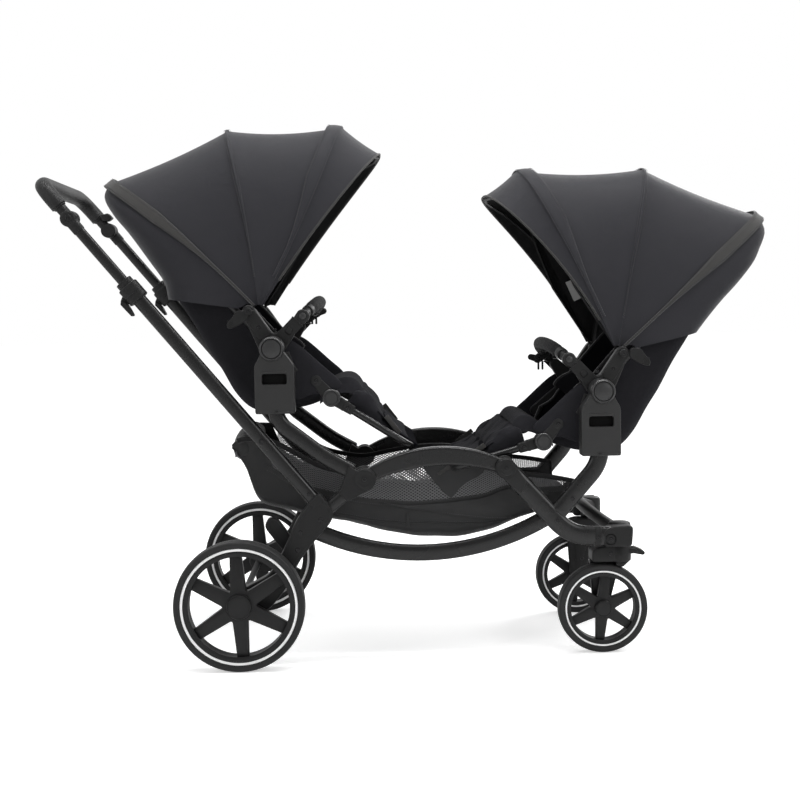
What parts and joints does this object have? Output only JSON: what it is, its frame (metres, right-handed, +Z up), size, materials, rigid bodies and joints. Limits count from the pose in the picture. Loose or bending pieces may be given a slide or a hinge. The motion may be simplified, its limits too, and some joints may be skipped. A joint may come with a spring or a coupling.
{
  "type": "double stroller",
  "caption": "Double stroller with two facing seats, each with its own hood, on a folding side-linked frame with swivel front wheels.",
  "frame": {"origin": "floor point under the middle of the overall length and width", "axes": "+X forward, +Y to the left, +Z up"},
  "size_m": [1.6172, 0.6398, 1.1755],
  "materials": {
    "tube": "satin black",
    "moulded": "matt, finely grained",
    "tyre": "matt",
    "rim": "matt",
    "axle": "brushed",
    "leatherette": "stitched leatherette",
    "canvas": "plain weave"
  },
  "bodies": {
    "rear_frame": {"rear_housing_right": "moulded", "rear_housing_left": "moulded", "rear_axle": "axle", "handle_tube_right": "tube", "handle_tube_left": "tube", "handle_clamp_right": "moulded", "handle_clamp_left": "moulded", "rear_seat_tube_right": "tube", "rear_seat_tube_left": "tube", "basket": "canvas"},
    "arches": {"arch_right": "moulded", "arch_left": "moulded"},
    "front_frame": {"front_tube_right": "tube", "front_tube_left": "tube", "front_seat_tube_right": "tube", "front_seat_tube_left": "tube", "front_cross_member": "moulded"},
    "lower_arcs": {"lower_arc_right": "tube", "lower_arc_left": "tube"},
    "handle_slider": {"handle_slider_right": "tube", "handle_slider_left": "tube"},
    "handle_bar": {"handle_bar": "moulded", "handle_grip": "leatherette"},
    "brake_pedal": {"brake_pedal": "moulded"},
    "clamp_lever_right": {"clamp_lever_right": "moulded"},
    "rear_wheel_right": {"rear_tyre_right": "tyre", "rear_rim_right": "rim"},
    "front_wheel_right": {"front_tyre_right": "tyre", "front_rim_right": "rim"},
    "fork_right": {"fork_right": "moulded"},
    "swivel_lock_right": {"swivel_lock_right": "moulded"},
    "clamp_lever_left": {"clamp_lever_left": "moulded"},
    "rear_wheel_left": {"rear_tyre_left": "tyre", "rear_rim_left": "rim"},
    "front_wheel_left": {"front_tyre_left": "tyre", "front_rim_left": "rim"},
    "fork_left": {"fork_left": "moulded"},
    "swivel_lock_left": {"swivel_lock_left": "moulded"},
    "rear_seat_mount": {"rear_adapter_right": "moulded", "rear_adapter_left": "moulded"},
    "rear_seat": {"rear_seat_frame": "moulded", "rear_seat_fabric": "canvas", "rear_canopy_fabric": "canvas"},
    "rear_leg_rest": {"rear_leg_rest": "tube"},
    "rear_bumper_bar": {"rear_bumper_bar": "leatherette"},
    "rear_canopy_mid": {"rear_canopy_mid_bow": "tube"},
    "rear_canopy_front": {"rear_canopy_front_bow": "tube"},
    "rear_tilt_button_right": {"rear_tilt_button_right": "moulded"},
    "rear_tilt_button_left": {"rear_tilt_button_left": "moulded"},
    "front_seat_mount": {"front_adapter_right": "moulded", "front_adapter_left": "moulded"},
    "front_seat": {"front_seat_frame": "moulded", "front_seat_fabric": "canvas", "front_canopy_fabric": "canvas"},
    "front_leg_rest": {"front_leg_rest": "tube"},
    "front_bumper_bar": {"front_bumper_bar": "leatherette"},
    "front_canopy_mid": {"front_canopy_mid_bow": "tube"},
    "front_canopy_front": {"front_canopy_front_bow": "tube"},
    "front_tilt_button_right": {"front_tilt_button_right": "moulded"},
    "front_tilt_button_left": {"front_tilt_button_left": "moulded"}
  },
  "joints": [
    {"name": "frame_fold", "type": "hinge", "parent": "rear_frame", "child": "arches", "pos_m": [-0.11136, 0, 0.4], "axis": [0, -1, 0], "range_deg": [0, 20]},
    {"name": "front_frame_fold", "type": "hinge", "parent": "arches", "child": "front_frame", "pos_m": [0.19364, 0, 0.418], "axis": [0, -1, 0], "range_deg": [-17.5, 0.5]},
    {"name": "lower_arc_fold", "type": "hinge", "parent": "rear_frame", "child": "lower_arcs", "pos_m": [-0.22136, 0, 0.284], "axis": [0, -1, 0], "range_deg": [-0.5, 13]},
    {"name": "handle_height", "type": "slide", "parent": "rear_frame", "child": "handle_slider", "axis": [-0.6383, 0, 0.7698], "range_m": [-0.1, 0]},
    {"name": "handle_tilt", "type": "hinge", "parent": "handle_slider", "child": "handle_bar", "pos_m": [-0.72687, 0, 0.9661], "axis": [0, 1, 0], "range_deg": [-60, 25]},
    {"name": "clamp_lever_right_flip", "type": "hinge", "parent": "rear_frame", "child": "clamp_lever_right", "pos_m": [-0.6163, -0.24, 0.78576], "axis": [0, 1, 0], "range_deg": [0, 75]},
    {"name": "rear_wheel_right_spin", "type": "hinge", "parent": "rear_frame", "child": "rear_wheel_right", "pos_m": [-0.38136, -0.295, 0.14], "axis": [0, 1, 0], "continuous": true},
    {"name": "fork_right_swivel", "type": "hinge", "parent": "front_frame", "child": "fork_right", "pos_m": [0.44664, -0.2, 0.2385], "axis": [0, 0, 1], "continuous": true},
    {"name": "front_wheel_right_spin", "type": "hinge", "parent": "fork_right", "child": "front_wheel_right", "pos_m": [0.40764, -0.2, 0.0985], "axis": [0, 1, 0], "continuous": true},
    {"name": "swivel_lock_right_press", "type": "hinge", "parent": "fork_right", "child": "swivel_lock_right", "pos_m": [0.47864, -0.2, 0.2245], "axis": [0, 1, 0], "range_deg": [0, 12]},
    {"name": "clamp_lever_left_flip", "type": "hinge", "parent": "rear_frame", "child": "clamp_lever_left", "pos_m": [-0.6163, 0.24, 0.78576], "axis": [0, 1, 0], "range_deg": [0, 75]},
    {"name": "rear_wheel_left_spin", "type": "hinge", "parent": "rear_frame", "child": "rear_wheel_left", "pos_m": [-0.38136, 0.295, 0.14], "axis": [0, 1, 0], "continuous": true},
    {"name": "fork_left_swivel", "type": "hinge", "parent": "front_frame", "child": "fork_left", "pos_m": [0.44664, 0.2, 0.2385], "axis": [0, 0, 1], "continuous": true},
    {"name": "front_wheel_left_spin", "type": "hinge", "parent": "fork_left", "child": "front_wheel_left", "pos_m": [0.40764, 0.2, 0.0985], "axis": [0, 1, 0], "continuous": true},
    {"name": "swivel_lock_left_press", "type": "hinge", "parent": "fork_left", "child": "swivel_lock_left", "pos_m": [0.47864, 0.2, 0.2245], "axis": [0, 1, 0], "range_deg": [0, 12]},
    {"name": "brake_pedal_press", "type": "hinge", "parent": "rear_frame", "child": "brake_pedal", "pos_m": [-0.27336, -0.223, 0.243], "axis": [0, -1, 0], "range_deg": [0, 22]},
    {"name": "rear_seat_lift", "type": "slide", "parent": "rear_frame", "child": "rear_seat_mount", "axis": [0, 0, 1], "range_m": [0, 0.06]},
    {"name": "rear_seat_tilt", "type": "hinge", "parent": "rear_seat_mount", "child": "rear_seat", "pos_m": [-0.30336, 0, 0.683], "axis": [0, -1, 0], "range_deg": [-8, 20]},
    {"name": "rear_tilt_button_right_press", "type": "slide", "parent": "rear_seat_mount", "child": "rear_tilt_button_right", "axis": [0, 1, 0], "range_m": [0, 0.004], "stiffness_N_per_m": 400},
    {"name": "rear_tilt_button_left_press", "type": "slide", "parent": "rear_seat_mount", "child": "rear_tilt_button_left", "axis": [0, -1, 0], "range_m": [0, 0.004], "stiffness_N_per_m": 400},
    {"name": "rear_leg_rest_angle", "type": "hinge", "parent": "rear_seat", "child": "rear_leg_rest", "pos_m": [-0.17936, 0, 0.573], "axis": [0, 1, 0], "range_deg": [-35, 8]},
    {"name": "rear_bumper_pull", "type": "slide", "parent": "rear_seat", "child": "rear_bumper_bar", "axis": [0.6947, 0, 0.7193], "range_m": [0, 0.04]},
    {"name": "rear_canopy_fold", "type": "hinge", "parent": "rear_seat", "child": "rear_canopy_mid", "pos_m": [-0.35336, 0, 0.763], "axis": [0, -1, 0], "range_deg": [0, 26], "deforming": ["rear_canopy_fabric"]},
    {"name": "rear_canopy_front_fold", "type": "hinge", "parent": "rear_canopy_mid", "child": "rear_canopy_front", "pos_m": [-0.35336, 0, 0.763], "axis": [0, -1, 0], "range_deg": [0, 26]},
    {"name": "front_seat_lift", "type": "slide", "parent": "front_frame", "child": "front_seat_mount", "axis": [0, 0, 1], "range_m": [0, 0.06]},
    {"name": "front_seat_tilt", "type": "hinge", "parent": "front_seat_mount", "child": "front_seat", "pos_m": [0.40364, 0, 0.579], "axis": [0, 1, 0], "range_deg": [0, 20]},
    {"name": "front_tilt_button_right_press", "type": "slide", "parent": "front_seat_mount", "child": "front_tilt_button_right", "axis": [0, 1, 0], "range_m": [0, 0.004], "stiffness_N_per_m": 400},
    {"name": "front_tilt_button_left_press", "type": "slide", "parent": "front_seat_mount", "child": "front_tilt_button_left", "axis": [0, -1, 0], "range_m": [0, 0.004], "stiffness_N_per_m": 400},
    {"name": "front_leg_rest_angle", "type": "hinge", "parent": "front_seat", "child": "front_leg_rest", "pos_m": [0.27964, 0, 0.469], "axis": [0, -1, 0], "range_deg": [-30, 0]},
    {"name": "front_bumper_pull", "type": "slide", "parent": "front_seat", "child": "front_bumper_bar", "axis": [-0.6947, 0, 0.7193], "range_m": [0, 0.04]},
    {"name": "front_canopy_fold", "type": "hinge", "parent": "front_seat", "child": "front_canopy_mid", "pos_m": [0.45364, 0, 0.659], "axis": [0, 1, 0], "range_deg": [0, 26], "deforming": ["front_canopy_fabric"]},
    {"name": "front_canopy_front_fold", "type": "hinge", "parent": "front_canopy_mid", "child": "front_canopy_front", "pos_m": [0.45364, 0, 0.659], "axis": [0, 1, 0], "range_deg": [0, 26]}
  ],
  "couplings": [
    {"joint": "front_frame_fold", "follows": "frame_fold", "ratio": -0.85},
    {"joint": "lower_arc_fold", "follows": "frame_fold", "ratio": 0.615},
    {"joint": "rear_canopy_front_fold", "follows": "rear_canopy_fold", "ratio": 0.95},
    {"joint": "front_canopy_front_fold", "follows": "front_canopy_fold", "ratio": 0.95}
  ]
}
